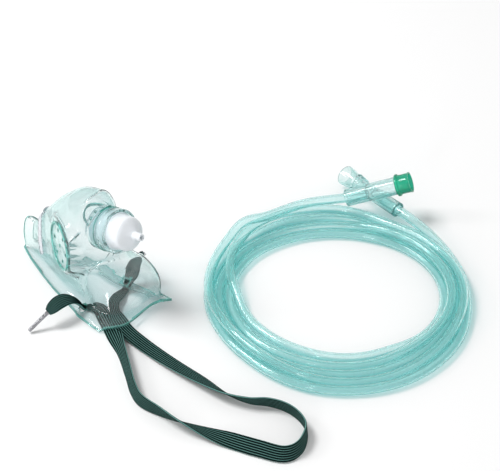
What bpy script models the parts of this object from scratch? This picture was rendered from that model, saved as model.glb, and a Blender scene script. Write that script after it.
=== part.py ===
"""Paediatric oxygen face mask with its swivel connector, nose clip, elastic head strap
and coiled supply tube. Metres, +Z up, resting on z = 0.

World axes follow the table: +X to the right, +Y away from the viewer. The mask has its own
axes: s runs from the nose end to the chin end, t from the near side to the far side."""

import math

import bmesh
import bpy
import numpy as np
from mathutils import Matrix, Vector

MM = 0.001

# ---------------------------------------------------------------- mask body
NOSE_X, NOSE_Y = -39.4, 33.1      # nose end of the rim, in the part's frame
MASK_TURN = math.radians(-43.0)   # direction from nose to chin
SHELL = 1.2                       # wall of the moulded shell
SECTION_POINTS = 25
# One row per cross-section, nose to chin. Rim near s, t; rim far s, t; flange near, far;
# widest near, far; crest s, t, z; squareness of the arch; height of the flange's inner edge.
ARCHES = (
    (-0.5, -5.2, -0.5, 5.5, 1.4, 1.4, -4.4, 5.2, -0.6, 0.4, 20.4, 2.3, 2.2),
    (4.0, -7.0, 4.0, 7.5, 2.4, 2.4, -4.4, 5.4, 3.4, 0.5, 22.2, 2.3, 2.8),
    (10.0, -9.2, 9.6, 9.0, 3.8, 3.8, -5.2, 6.0, 9.4, 0.6, 22.2, 2.3, 3.4),
    (18.5, -11.7, 16.0, 10.6, 5.2, 5.2, -6.6, 7.6, 15.0, 0.8, 32.5, 2.4, 3.6),
    (27.0, -14.0, 23.5, 12.0, 5.6, 5.6, -8.6, 11.0, 21.5, 1.5, 41.5, 2.6, 3.8),
    (37.0, -16.4, 33.0, 13.5, 5.8, 5.8, -11.5, 15.0, 31.0, 2.8, 52.5, 2.9, 3.8),
    (46.0, -18.0, 43.0, 14.8, 6.2, 6.2, -14.0, 18.0, 43.0, 4.4, 62.0, 3.1, 4.0),
    (52.0, -19.0, 51.0, 15.2, 7.2, 6.8, -15.0, 19.4, 52.5, 5.2, 66.0, 3.0, 4.4),
    (56.5, -19.8, 57.0, 15.6, 7.8, 7.2, -14.6, 19.4, 60.0, 5.6, 65.0, 2.9, 5.0),
    (59.5, -20.4, 65.0, 16.4, 8.0, 7.6, -13.4, 18.0, 67.0, 5.2, 36.0, 3.4, 5.4),
    (61.6, -21.0, 78.0, 18.6, 8.4, 6.0, -12.9, 19.4, 76.0, 4.5, 31.0, 4.4, 5.4),
    (63.6, -21.6, 85.0, 20.4, 8.8, 4.4, -12.6, 20.4, 81.5, 5.0, 18.0, 4.6, 5.0),
)
# Foot of the chin wall and the chin edge of the flange, (s, t, z) from near to far.
CHIN_FOOT = ((72.5, -22.3, 1.2), (66.4, -13.0, 4.9), (73.6, -13.2, 5.0), (80.3, -10.2, 5.0),
             (84.8, 0.4, 5.0), (86.6, 11.5, 5.2), (88.0, 19.4, 4.6), (89.0, 21.0, 2.6))
CHIN_EDGE = ((81.3, -22.2, 1.2), (83.6, -19.6, 3.2), (88.1, -16.0, 4.9), (90.8, -11.2, 5.2),
             (91.0, -4.0, 4.9), (90.1, 8.2, 4.9), (91.4, 14.5, 5.0), (95.4, 19.6, 5.4))
RIM_TOP = SHELL                   # top of the flange where it lies on the table
RIM_BAND = 0.34                   # share of the flange that lies flat

# ------------------------------------------------------- port and connector
PORT_AT = (64.0, 5.1, 47.4)       # s, t, z of the port's centre on the dome's front face
PORT_TURN, PORT_TILT = math.radians(2.0), math.radians(18.0)
COLLAR_R, COLLAR_BORE, COLLAR_LENGTH, COLLAR_ROOT = 12.0, 10.6, 10.0, 4.5
SWIVEL_CLEARANCE = 0.3
SWIVEL_HUB_R, SWIVEL_FACE_R = 10.3, 9.3
NOZZLE_TIP_R, NOZZLE_BORE = 1.9, 1.0

# ---------------------------------------------------------- vents and holes
VENT_NEAR, VENT_FAR = (45.6, -14.0, 36.0), (46.5, 18.6, 33.0)
VENT_TURN, VENT_R, VENT_RING = math.radians(22.0), 13.8, 1.5
VENT_HOLES, VENT_HOLE_R, VENT_HOLE_CIRCLE = 6, 1.0, 8.6
STRAP_HOLE_NEAR, STRAP_HOLE_FAR = (62.4, -16.4), (68.4, 11.6)
STRAP_HOLE_R = 2.4

# ------------------------------------------------------------- nose clip
CLIP_ROW, CLIP_WIDTH_ROWS = 3.1, 0.5
CLIP_GAP, CLIP_THICKNESS = 0.35, 0.8
CLIP_FROM, CLIP_TO = 0.035, 0.90   # share of the section that the strip covers

# ------------------------------------------------------------ head strap
STRAP_WIDTH, STRAP_THICKNESS = 8.6, 1.0
# ------------------------------------------------------------ supply tube
TUBE_R = 2.75
COIL_OUTER = (135.3, -10.6, 74.7, 74.7)    # centre x, y and half-axes x, y
COIL_INNER = (136.9, -10.7, 55.1, 47.2)
COIL_LOW, COIL_RISE = 5.8, 4.8    # one turn high at front and back, nearly two at the sides


def clear():
    for obj in list(bpy.data.objects):
        bpy.data.objects.remove(obj, do_unlink=True)


clear()
part = bpy.data.collections.new("oxygen_mask")
cutters = bpy.data.collections.new("cutters")
cutters.hide_render = True
bpy.context.scene.collection.children.link(part)
bpy.context.scene.collection.children.link(cutters)


def material(name, color, roughness, metallic=0.0, transmission=0.0):
    made = bpy.data.materials.new(name)
    made.use_nodes = True
    shader = made.node_tree.nodes["Principled BSDF"]
    shader.inputs["Base Color"].default_value = (*color, 1)
    shader.inputs["Roughness"].default_value = roughness
    shader.inputs["Metallic"].default_value = metallic
    shader.inputs["Transmission Weight"].default_value = transmission
    return made


clear_pvc = material("clear_aqua_pvc", (0.62, 0.86, 0.84), 0.12, transmission=0.8)
white_plastic = material("white_plastic", (0.86, 0.87, 0.90), 0.35)
aluminium = material("aluminium", (0.80, 0.82, 0.84), 0.3, metallic=1.0)
elastic = material("dark_green_elastic", (0.012, 0.055, 0.045), 0.85)
steel = material("crimped_metal", (0.62, 0.62, 0.62), 0.3, metallic=1.0)
tubing = material("aqua_tubing", (0.45, 0.80, 0.76), 0.15, transmission=0.7)
green_plastic = material("clear_green_plastic", (0.02, 0.50, 0.30), 0.15, transmission=0.5)


def add(name, mesh, look=None, where=part, smooth=True):
    obj = bpy.data.objects.new(name, mesh)
    where.objects.link(obj)
    if look:
        mesh.materials.clear()
        mesh.materials.append(look)
    for face in mesh.polygons:
        face.use_smooth = smooth
    if where is cutters:
        obj.hide_render = True
        obj.display_type = "WIRE"
    return obj


def from_bmesh(bm, name):
    bmesh.ops.remove_doubles(bm, verts=bm.verts, dist=1e-6)
    bmesh.ops.recalc_face_normals(bm, faces=bm.faces)
    mesh = bpy.data.meshes.new(name)
    bm.to_mesh(mesh)
    bm.free()
    return mesh


def turned(profile, steps, axes=Matrix.Identity(4)):
    """A closed (radius, height) profile in mm turned about the axes' z."""
    bm = bmesh.new()
    ring = [bm.verts.new((r * MM, 0, h * MM)) for r, h in profile]
    edges = []
    for a, b in zip(ring, ring[1:] + ring[:1]):
        if a.co.x > 1e-9 or b.co.x > 1e-9:
            edges.append(bm.edges.new((a, b)))
    bmesh.ops.spin(bm, geom=ring + edges, cent=(0, 0, 0), axis=(0, 0, 1),
                   angle=2 * math.pi, steps=steps, use_merge=True)
    bmesh.ops.remove_doubles(bm, verts=bm.verts, dist=1e-6)
    bmesh.ops.transform(bm, matrix=axes, verts=bm.verts)
    return from_bmesh(bm, "turned")


def axes_along(origin, direction):
    """Axes at origin (mm, world) whose z points along direction."""
    z = Vector(direction).normalized()
    x = Vector((0, 0, 1)).cross(z)
    x = x.normalized() if x.length > 1e-6 else Vector((1, 0, 0))
    y = z.cross(x)
    turn = Matrix((x, y, z)).transposed().to_4x4()
    return Matrix.Translation(Vector(origin) * MM) @ turn


def loft(sections, closed_ends=True):
    """A solid through closed sections of the same number of points (mm)."""
    bm = bmesh.new()
    rings = [[bm.verts.new(Vector(p) * MM) for p in section] for section in sections]
    for a, b in zip(rings, rings[1:]):
        for i in range(len(a)):
            j = (i + 1) % len(a)
            bm.faces.new((a[i], a[j], b[j], b[i]))
    if closed_ends:
        bm.faces.new(rings[0])
        bm.faces.new(list(reversed(rings[-1])))
    return from_bmesh(bm, "loft")


def boolean(obj, cutter, operation):
    bpy.context.view_layer.update()
    modifier = obj.modifiers.new(operation.lower(), "BOOLEAN")
    modifier.operation = operation
    modifier.solver = "EXACT"
    modifier.object = cutter
    graph = bpy.context.evaluated_depsgraph_get()
    mesh = bpy.data.meshes.new_from_object(obj.evaluated_get(graph))
    obj.modifiers.clear()
    obj.data = mesh
    bpy.data.objects.remove(cutter, do_unlink=True)


# ------------------------------------------------------------ mask geometry
ALONG = Vector((math.cos(MASK_TURN), math.sin(MASK_TURN), 0))
ACROSS = Vector((-math.sin(MASK_TURN), math.cos(MASK_TURN), 0))


def mask_to_world(s, t, z):
    return Vector((NOSE_X, NOSE_Y, 0)) + ALONG * s + ACROSS * t + Vector((0, 0, z))


def turn_to_world(s, t, z):
    return ALONG * s + ACROSS * t + Vector((0, 0, z))


def through(points, at):
    """Catmull-Rom curve through the points at a position counted in points."""
    last = len(points) - 1
    i = int(min(max(math.floor(at), 0), last - 1))
    f = at - i
    p1, p2 = points[i], points[i + 1]
    p0 = points[i - 1] if i > 0 else 2 * p1 - p2
    p3 = points[i + 2] if i + 2 <= last else 2 * p2 - p1
    return 0.5 * (2 * p1 + (p2 - p0) * f + (2 * p0 - 5 * p1 + 4 * p2 - p3) * f * f
                  + (3 * p1 - p0 - 3 * p2 + p3) * f ** 3)


def arch(row):
    sn, tn, sf, tf, fn, ff, wn, wf, top_s, top_t, top_z, power, foot = row
    near_foot, far_foot = tn + fn, tf - ff
    points = [(sn, tn, RIM_TOP), (sn, tn + fn * RIM_BAND, RIM_TOP)]
    for angle in np.linspace(0, math.pi, SECTION_POINTS):
        c, d = math.cos(angle), math.sin(angle)
        u = -math.copysign(abs(c) ** (2 / power), c)
        rise = abs(d) ** (2 / power)
        swell = math.sin(math.pi / 2 * min(rise / 0.55, 1))
        near = near_foot + (wn - near_foot) * swell
        far = far_foot + (wf - far_foot) * swell
        t = top_t + (u * (top_t - near) if u < 0 else u * (far - top_t))
        s = sn + (sf - sn) * (u + 1) / 2
        s += (top_s - (sn + sf) / 2) * rise ** 1.1 * (1 - 0.6 * u * u)
        points.append((s, t, foot + (top_z - foot) * rise))
    points += [(sf, tf - ff * RIM_BAND, RIM_TOP), (sf, tf, RIM_TOP)]
    return np.array(points)


def flat_row(line):
    line = np.array(line, float)
    inner = line[1:-1]
    points = [line[0], line[0] * 0.66 + line[1] * 0.34]
    for k in range(SECTION_POINTS):
        points.append(through(inner, k / (SECTION_POINTS - 1) * (len(inner) - 1)))
    points += [line[-1] * 0.66 + line[-2] * 0.34, line[-1]]
    return np.array(points)


def mask_rows():
    return np.array([arch(row) for row in ARCHES] + [flat_row(CHIN_FOOT)])


def vent_axes(centre, side):
    """Outward normal and two axes in the vent's plane, in the mask's axes."""
    normal = np.array((-math.sin(VENT_TURN), side * math.cos(VENT_TURN), 0.10))
    normal /= np.linalg.norm(normal)
    return np.array(centre), normal


def flattened(points):
    """Presses the cheeks flat round each vent."""
    for centre, side in ((VENT_NEAR, -1), (VENT_FAR, 1)):
        centre, normal = vent_axes(centre, side)
        off = (points - centre) @ normal
        in_plane = np.linalg.norm(points - centre - off[..., None] * normal, axis=-1)
        share = np.clip((19.5 - in_plane) / 4.5, 0, 1) * (np.abs(off) < 9)
        share = share * share * (3 - 2 * share)
        points = points - (off * share)[..., None] * normal
    return points


def mask_surface(between=2):
    rows = mask_rows()
    found = [through(rows, i / between) for i in range((len(rows) - 1) * between + 1)]
    edge = flat_row(CHIN_EDGE)
    found.append((found[-1] + edge) / 2)
    found.append(edge)
    found = np.array(found)
    return flattened(found)


def shell_mesh():
    grid = mask_surface()
    bm = bmesh.new()
    verts = [[bm.verts.new(mask_to_world(*p) * MM) for p in row] for row in grid]
    for a, b in zip(verts, verts[1:]):
        for i in range(len(a) - 1):
            bm.faces.new((a[i], b[i], b[i + 1], a[i + 1]))
    mesh = bpy.data.meshes.new("shell")
    bm.to_mesh(mesh)
    bm.free()
    return mesh


shell = add("mask_shell", shell_mesh(), clear_pvc)
solidify = shell.modifiers.new("wall", "SOLIDIFY")
solidify.thickness = SHELL * MM
solidify.offset = -1
solidify.use_even_offset = False
graph = bpy.context.evaluated_depsgraph_get()
shell.data = bpy.data.meshes.new_from_object(shell.evaluated_get(graph))
shell.modifiers.clear()
for vertex in shell.data.vertices:
    if vertex.co.z < 0.5 * MM:
        vertex.co.z = 0.0

port_axis = turn_to_world(math.cos(PORT_TILT) * math.cos(PORT_TURN),
                          math.cos(PORT_TILT) * math.sin(PORT_TURN), math.sin(PORT_TILT))
port_axes = axes_along(mask_to_world(*PORT_AT), port_axis)

collar = turned(((0, -COLLAR_ROOT), (COLLAR_R, -COLLAR_ROOT), (COLLAR_R, COLLAR_LENGTH - 0.6),
                 (COLLAR_R - 0.6, COLLAR_LENGTH), (0, COLLAR_LENGTH)), 48, port_axes)
boolean(shell, add("collar", collar, where=cutters), "UNION")
bore = turned(((0, -9.0), (COLLAR_BORE, -9.0), (COLLAR_BORE, COLLAR_LENGTH + 2),
               (0, COLLAR_LENGTH + 2)), 48, port_axes)
boolean(shell, add("bore", bore, where=cutters), "DIFFERENCE")

for centre, side in ((VENT_NEAR, -1), (VENT_FAR, 1)):
    centre, normal = vent_axes(centre, side)
    axes = axes_along(mask_to_world(*centre), turn_to_world(*normal))
    ring = turned(((VENT_R - VENT_RING, -0.7), (VENT_R, -0.7), (VENT_R, 0.6),
                   (VENT_R - 0.4, 0.9), (VENT_R - VENT_RING + 0.4, 0.9),
                   (VENT_R - VENT_RING, 0.6)), 40, axes)
    boolean(shell, add("vent_ring", ring, where=cutters), "UNION")
    for k in range(VENT_HOLES + 1):
        angle = 2 * math.pi * k / VENT_HOLES
        reach = VENT_HOLE_CIRCLE if k < VENT_HOLES else 0.0
        hole = turned(((0, -4), (VENT_HOLE_R, -4), (VENT_HOLE_R, 3), (0, 3)), 10,
                      axes @ Matrix.Translation((reach * MM * math.cos(angle),
                                                 reach * MM * math.sin(angle), 0)))
        boolean(shell, add("vent_hole", hole, where=cutters), "DIFFERENCE")

for s, t in (STRAP_HOLE_NEAR, STRAP_HOLE_FAR):
    hole = turned(((0, -3), (STRAP_HOLE_R, -3), (STRAP_HOLE_R, 9), (0, 9)), 20,
                  axes_along(mask_to_world(s, t, 0), (0, 0, 1)))
    boolean(shell, add("strap_hole", hole, where=cutters), "DIFFERENCE")

# -------------------------------------------------------- swivel connector
hub_end = -3.0
swivel = turned((
    (NOZZLE_BORE, 27.0), (NOZZLE_TIP_R, 27.0), (NOZZLE_TIP_R + 0.5, 21.5), (4.6, 20.2),
    (SWIVEL_FACE_R - 1.6, 18.6), (SWIVEL_FACE_R - 0.4, 17.6), (SWIVEL_FACE_R, 16.4),
    (SWIVEL_FACE_R, 9.4), (SWIVEL_HUB_R, 8.6), (SWIVEL_HUB_R, hub_end),
    (SWIVEL_HUB_R - 1.4, hub_end), (SWIVEL_HUB_R - 1.4, 7.6), (SWIVEL_FACE_R - 1.4, 8.6),
    (SWIVEL_FACE_R - 1.4, 16.0), (4.0, 18.8), (NOZZLE_BORE, 20.4)), 44, port_axes)
add("swivel_connector", swivel, white_plastic)


# --------------------------------------------------------------- nose clip
def surface_at(rows, row, column):
    line = through(rows, row)
    inner = line[2:-2]
    return through(inner, column * (len(inner) - 1))


def clip_mesh():
    rows = mask_rows()
    steps = 22
    sections = []
    for k in range(steps + 1):
        column = CLIP_FROM + (CLIP_TO - CLIP_FROM) * k / steps
        a = surface_at(rows, CLIP_ROW - CLIP_WIDTH_ROWS / 2, column)
        b = surface_at(rows, CLIP_ROW + CLIP_WIDTH_ROWS / 2, column)
        middle = surface_at(rows, CLIP_ROW, column)
        ahead = surface_at(rows, CLIP_ROW, column + 0.01) - surface_at(rows, CLIP_ROW, column - 0.01)
        normal = np.cross(ahead, b - a)
        normal /= np.linalg.norm(normal)
        if normal @ (middle - np.array((18.0, 1.0, 12.0))) < 0:
            normal = -normal
        low, high = CLIP_GAP, CLIP_GAP + CLIP_THICKNESS
        bulge = max(0.0, float((middle - (a + b) / 2) @ normal))
        low, high = low + bulge, high + bulge
        sections.append([mask_to_world(*(a + normal * low)), mask_to_world(*(b + normal * low)),
                         mask_to_world(*(b + normal * high)), mask_to_world(*(a + normal * high))])
    return loft(sections)


add("nose_clip", clip_mesh(), aluminium, smooth=False)


# --------------------------------------------------------------- head strap
def ribbon(points):
    """Sections along (x, y, z, width, thickness, roll) points in mm and degrees."""
    sections, side = [], None
    for i, (x, y, z, width, thickness, roll) in enumerate(points):
        here = Vector((x, y, z))
        before = Vector(points[max(i - 1, 0)][:3])
        after = Vector(points[min(i + 1, len(points) - 1)][:3])
        ahead = (after - before).normalized()
        flat = Vector((0, 0, 1)).cross(ahead)
        side = flat.normalized() if flat.length > 0.25 or side is None else side
        up = ahead.cross(side).normalized()
        wide = side * math.cos(math.radians(roll)) + up * math.sin(math.radians(roll))
        thin = ahead.cross(wide).normalized()
        w, h = wide * width / 2, thin * thickness / 2
        sections.append([here - w - h, here + w - h, here + w + h, here - w + h])
    return sections


def smooth_path(points, between):
    points = np.array(points, float)
    return [tuple(through(points, i / between)) for i in range((len(points) - 1) * between + 1)]


def strap_end(rows):
    return [(*mask_to_world(s, t, z), w, h, roll) for s, t, z, w, h, roll in rows]


W, H = STRAP_WIDTH, STRAP_THICKNESS
# Tail, hole and inside run at the near side, in the mask's axes.
NEAR_END = ((57.3, -36.0, 9.6, 4.6, 1.0, 10), (57.8, -34.0, 11.0, 7.0, 1.0, 14),
            (58.4, -29.4, 12.6, 8.2, 1.0, 20), (59.2, -24.4, 12.2, 7.4, 1.0, 20),
            (60.4, -20.2, 9.4, 4.6, 1.2, 10), (61.7, -17.9, 6.2, 2.6, 1.6, 0),
            (62.5, -16.3, 2.6, 2.6, 1.6, 0), (63.6, -14.0, 1.1, 2.8, 1.5, 0),
            (66.6, -11.2, 1.4, 5.0, 1.3, 4), (71.0, -10.9, 2.1, 7.6, 1.0, 6),
            (77.0, -12.8, 1.0, 8.6, 1.0, 4))
# Inside run, hole and tail at the far side.
FAR_END = ((84.5, -9.9, 2.3, 8.6, 1.0, 180), (77.6, -7.0, 2.5, 8.4, 1.0, 180),
           (72.8, -2.8, 3.2, 7.6, 1.0, 174), (70.4, 2.2, 2.6, 5.4, 1.2, 176),
           (69.0, 6.4, 1.35, 3.2, 1.6, 180), (68.6, 9.6, 1.5, 2.6, 1.8, 180),
           (68.2, 12.4, 4.8, 2.6, 1.8, 180), (67.4, 16.4, 8.8, 5.0, 1.3, 196),
           (67.0, 19.4, 13.0, 7.2, 1.0, 215), (68.2, 21.8, 17.6, 7.4, 1.0, 225),
           (69.4, 23.2, 20.6, 3.4, 1.0, 225))
# Free loop on the table, (x, y, roll), left leg first.
LOOP = ((12.2, -37.8, 5), (16.5, -53.1, 50), (21.1, -69.4, 58), (25.3, -82.1, 60),
        (30.9, -90.6, 68), (40.9, -97.8, 97), (51.8, -104.2, 126), (64.0, -109.1, 160),
        (77.5, -114.9, 200), (90.5, -120.8, 222), (103.2, -125.0, 236), (111.2, -120.8, 252),
        (114.7, -110.1, 264), (111.7, -101.6, 264), (104.8, -95.1, 262), (95.7, -91.6, 258),
        (85.5, -90.4, 248), (73.2, -84.9, 230), (60.6, -74.5, 206), (47.2, -63.7, 194),
        (33.3, -51.3, 184), (21.0, -39.9, 180))


def strap_points():
    near = strap_end(NEAR_END)
    far = strap_end(FAR_END)
    loop = []
    for x, y, roll in LOOP:
        lift = 0.2 + 0.5 * (W * abs(math.sin(math.radians(roll))) + H * abs(math.cos(math.radians(roll))))
        loop.append((x, y, lift, W, H, roll))
    loop[-1] = (*loop[-1][:2], 2.2, W, H, 180)
    return near + loop + far


add("head_strap", loft(ribbon(smooth_path(strap_points(), 2))), elastic, smooth=False)


def bar(start, end, width, thickness, gap, roll):
    """A short flat metal tip from near start to end (mm, world)."""
    start, end = Vector(start), Vector(end)
    ahead = (end - start).normalized()
    start = start + ahead * gap
    points = [(*(start + (end - start) * f), width * k, thickness, roll)
              for f, k in ((0, 1.0), (0.15, 1.0), (0.9, 0.9), (1.0, 0.7))]
    return loft(ribbon(points))


near_tip = mask_to_world(*NEAR_END[0][:3])
add("strap_tip_near", bar(near_tip, mask_to_world(53.8, -47.4, 1.5), 2.1, 1.7, 0.8, 10), steel,
    smooth=False)
far_tip = mask_to_world(*FAR_END[-1][:3])
add("strap_tip_far", bar(far_tip, mask_to_world(63.9, 29.6, 12.0), 2.1, 1.7, 2.6, 225), steel,
    smooth=False)


# ------------------------------------------------------------- supply tube
def coil_mesh():
    sections = []
    for k in range(56):
        angle = 2 * math.pi * k / 56
        c, d = math.cos(angle), math.sin(angle)
        outer = Vector((COIL_OUTER[0] + COIL_OUTER[2] * c, COIL_OUTER[1] + COIL_OUTER[3] * d, 0))
        inner = Vector((COIL_INNER[0] + COIL_INNER[2] * c, COIL_INNER[1] + COIL_INNER[3] * d, 0))
        height = COIL_LOW + COIL_RISE * c ** 4
        edge = TUBE_R
        section = []
        for f, z in ((0.0, edge), (0.0, height - edge), (0.06, height - 0.8), (0.15, height),
                     (0.85, height), (0.94, height - 0.8), (1.0, height - edge), (1.0, edge),
                     (0.94, 0.8), (0.85, 0.0), (0.15, 0.0), (0.06, 0.8)):
            p = inner + (outer - inner) * f
            section.append((p.x, p.y, z))
        sections.append(section)
    sections.append(sections[0])
    return loft(sections, closed_ends=False)


add("tubing_coil", coil_mesh(), tubing)


def tube(name, points, between, look):
    path = smooth_path(points, between)
    curve = bpy.data.curves.new(name, "CURVE")
    curve.dimensions = "3D"
    curve.bevel_depth = TUBE_R * MM
    curve.bevel_resolution = 2
    curve.use_fill_caps = True
    spline = curve.splines.new("POLY")
    spline.points.add(len(path) - 1)
    for point, p in zip(spline.points, path):
        point.co = (*(Vector(p) * MM), 1)
    obj = bpy.data.objects.new(name, curve)
    part.objects.link(obj)
    graph = bpy.context.evaluated_depsgraph_get()
    mesh = bpy.data.meshes.new_from_object(obj.evaluated_get(graph))
    bpy.data.objects.remove(obj, do_unlink=True)
    bm = bmesh.new()
    bm.from_mesh(mesh)
    add(name, from_bmesh(bm, name), look)


SLEEVE_START, CAP_START, CAP_END = (142.95, 60.0, 11.5), (171.4, 57.1, 23.5), (179.1, 56.3, 26.75)
FUNNEL_MOUTH, FUNNEL_END = (143.9, 86.3, 7.0), (172.3, 49.9, 11.0)
away_a = (Vector(CAP_START) - Vector(SLEEVE_START)).normalized()
away_b = (Vector(FUNNEL_END) - Vector(FUNNEL_MOUTH)).normalized()
lead_a_end = Vector(SLEEVE_START) - away_a * 0.3
lead_b_start = Vector(FUNNEL_END) + away_b * 0.3
tube("tube_lead_a", ((100.0, 55.2, 9.2), (115.7, 58.2, 9.3), (129.0, 60.4, 9.4),
                     tuple(lead_a_end - away_a * 4), tuple(lead_a_end)), 3, tubing)
tube("tube_lead_b", (tuple(lead_b_start), tuple(lead_b_start + away_b * 3),
                     (179.5, 42.5, 12.2), (185.0, 35.5, 12.6), (189.5, 27.5, 13.2)), 3, tubing)

reach_a = (Vector(CAP_START) - Vector(SLEEVE_START)).length
sleeve = turned(((4.9, 0.0), (5.1, 0.4), (5.1, reach_a * 0.5), (5.3, reach_a - 0.3),
                 (4.1, reach_a - 0.3), (3.9, reach_a * 0.45), (3.0, reach_a * 0.42), (3.0, 0.0)),
                28, axes_along(SLEEVE_START, away_a))
add("supply_sleeve", sleeve, clear_pvc)
reach_cap = (Vector(CAP_END) - Vector(CAP_START)).length
cap = turned(((4.3, 0.0), (6.5, 0.0), (6.6, 1.4), (5.9, 1.9), (5.9, reach_cap - 0.5),
              (6.1, reach_cap), (4.3, reach_cap)), 28, axes_along(CAP_START, away_a))
add("supply_cap", cap, green_plastic)
reach_b = (Vector(FUNNEL_END) - Vector(FUNNEL_MOUTH)).length
funnel = turned(((5.0, 0.0), (6.1, 0.0), (5.7, 4.0), (5.0, 9.0), (5.5, 9.6), (5.4, 10.4), (4.7, 11.0),
                 (5.2, 12.6), (5.1, 13.4), (4.4, 14.0), (4.8, 15.6), (4.7, 16.4), (4.2, 17.0),
                 (4.2, 24.0), (4.5, reach_b), (3.0, reach_b), (3.0, 26.0), (2.6, 24.0),
                 (2.6, 18.0), (4.6, 5.0)), 28, axes_along(FUNNEL_MOUTH, away_b))
add("mask_funnel", funnel, clear_pvc)
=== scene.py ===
import math

import bmesh
import bpy
import numpy as np
from mathutils import Matrix, Vector
from mathutils import noise as perlin
from mathutils.bvhtree import BVHTree
from mathutils.kdtree import KDTree


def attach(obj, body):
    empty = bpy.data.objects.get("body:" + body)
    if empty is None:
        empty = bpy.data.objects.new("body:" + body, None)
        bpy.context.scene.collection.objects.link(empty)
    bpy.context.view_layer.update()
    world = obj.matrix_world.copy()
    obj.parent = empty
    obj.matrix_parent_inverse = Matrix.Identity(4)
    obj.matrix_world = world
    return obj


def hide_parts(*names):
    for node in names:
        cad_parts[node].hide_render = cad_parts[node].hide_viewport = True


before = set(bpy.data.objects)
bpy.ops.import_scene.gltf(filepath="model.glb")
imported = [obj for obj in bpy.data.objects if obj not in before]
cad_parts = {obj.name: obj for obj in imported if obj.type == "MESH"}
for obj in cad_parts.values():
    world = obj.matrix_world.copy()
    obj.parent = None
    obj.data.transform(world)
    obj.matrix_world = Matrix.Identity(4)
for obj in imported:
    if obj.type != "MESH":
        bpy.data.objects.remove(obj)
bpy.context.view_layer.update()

MM = 0.001

# ------------------------------------------------------------------ tables
# The mask's own axes: s runs from the nose end to the chin end, t from near to far.
NOSE_X, NOSE_Y = -39.4, 33.1
MASK_TURN = math.radians(-43.0)
SHELL, RIM_TOP, RIM_BAND = 1.2, 1.2, 0.34
ARCHES = (
    (-0.5, -5.2, -0.5, 5.5, 1.4, 1.4, -4.4, 5.2, -0.6, 0.4, 20.4, 2.3, 2.2),
    (4.0, -7.0, 4.0, 7.5, 2.4, 2.4, -4.4, 5.4, 3.4, 0.5, 22.2, 2.3, 2.8),
    (10.0, -9.2, 9.6, 9.0, 3.8, 3.8, -5.2, 6.0, 9.4, 0.6, 22.2, 2.3, 3.4),
    (18.5, -11.7, 16.0, 10.6, 5.2, 5.2, -6.6, 7.6, 15.0, 0.8, 32.5, 2.4, 3.6),
    (27.0, -14.0, 23.5, 12.0, 5.6, 5.6, -8.6, 11.0, 21.5, 1.5, 41.5, 2.6, 3.8),
    (37.0, -16.4, 33.0, 13.5, 5.8, 5.8, -11.5, 15.0, 31.0, 2.8, 52.5, 2.9, 3.8),
    (46.0, -18.0, 43.0, 14.8, 6.2, 6.2, -14.0, 18.0, 43.0, 4.4, 62.0, 3.1, 4.0),
    (52.0, -19.0, 51.0, 15.2, 7.2, 6.8, -15.0, 19.4, 52.5, 5.2, 66.0, 3.0, 4.4),
    (56.5, -19.8, 57.0, 15.6, 7.8, 7.2, -14.6, 19.4, 60.0, 5.6, 65.0, 2.9, 5.0),
    (59.5, -20.4, 65.0, 16.4, 8.0, 7.6, -13.4, 18.0, 67.0, 5.2, 36.0, 3.4, 5.4),
    (61.6, -21.0, 78.0, 18.6, 8.4, 6.0, -12.9, 19.4, 76.0, 4.5, 31.0, 4.4, 5.4),
    (63.6, -21.6, 85.0, 20.4, 8.8, 4.4, -12.6, 20.4, 81.5, 5.0, 18.0, 4.6, 5.0),
)
CHIN_FOOT = ((72.5, -22.3, 1.2), (66.4, -13.0, 4.9), (73.6, -13.2, 5.0), (80.3, -10.2, 5.0),
             (84.8, 0.4, 5.0), (86.6, 11.5, 5.2), (88.0, 19.4, 4.6), (89.0, 21.0, 2.6))
CHIN_EDGE = ((81.3, -22.2, 1.2), (83.6, -19.6, 3.2), (88.1, -16.0, 4.9), (90.8, -11.2, 5.2),
             (91.0, -4.0, 4.9), (90.1, 8.2, 4.9), (91.4, 14.5, 5.0), (95.4, 19.6, 5.4))
SECTION = 97          # points over the arch of a section
ROW_STEPS = 9         # rows between two sections of the table

PORT_AT = (64.0, 5.1, 47.4)
PORT_TURN, PORT_TILT = math.radians(2.0), math.radians(18.0)
COLLAR_R, COLLAR_BORE, COLLAR_LENGTH = 12.0, 10.6, 10.0
VENT_NEAR, VENT_FAR = (45.6, -14.0, 36.0), (46.5, 18.6, 33.0)
VENT_TURN, VENT_R, VENT_RING = math.radians(22.0), 13.8, 1.5
VENT_HOLES, VENT_HOLE_R, VENT_HOLE_CIRCLE = 6, 1.0, 8.6
STRAP_HOLES, STRAP_HOLE_R = ((62.4, -16.4), (68.4, 11.6)), 2.4
CLIP_ROW, CLIP_HALF, CLIP_GAP, CLIP_THICKNESS = 3.1, 0.25, 0.35, 0.8
CLIP_FROM, CLIP_TO = 0.035, 0.90

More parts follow.
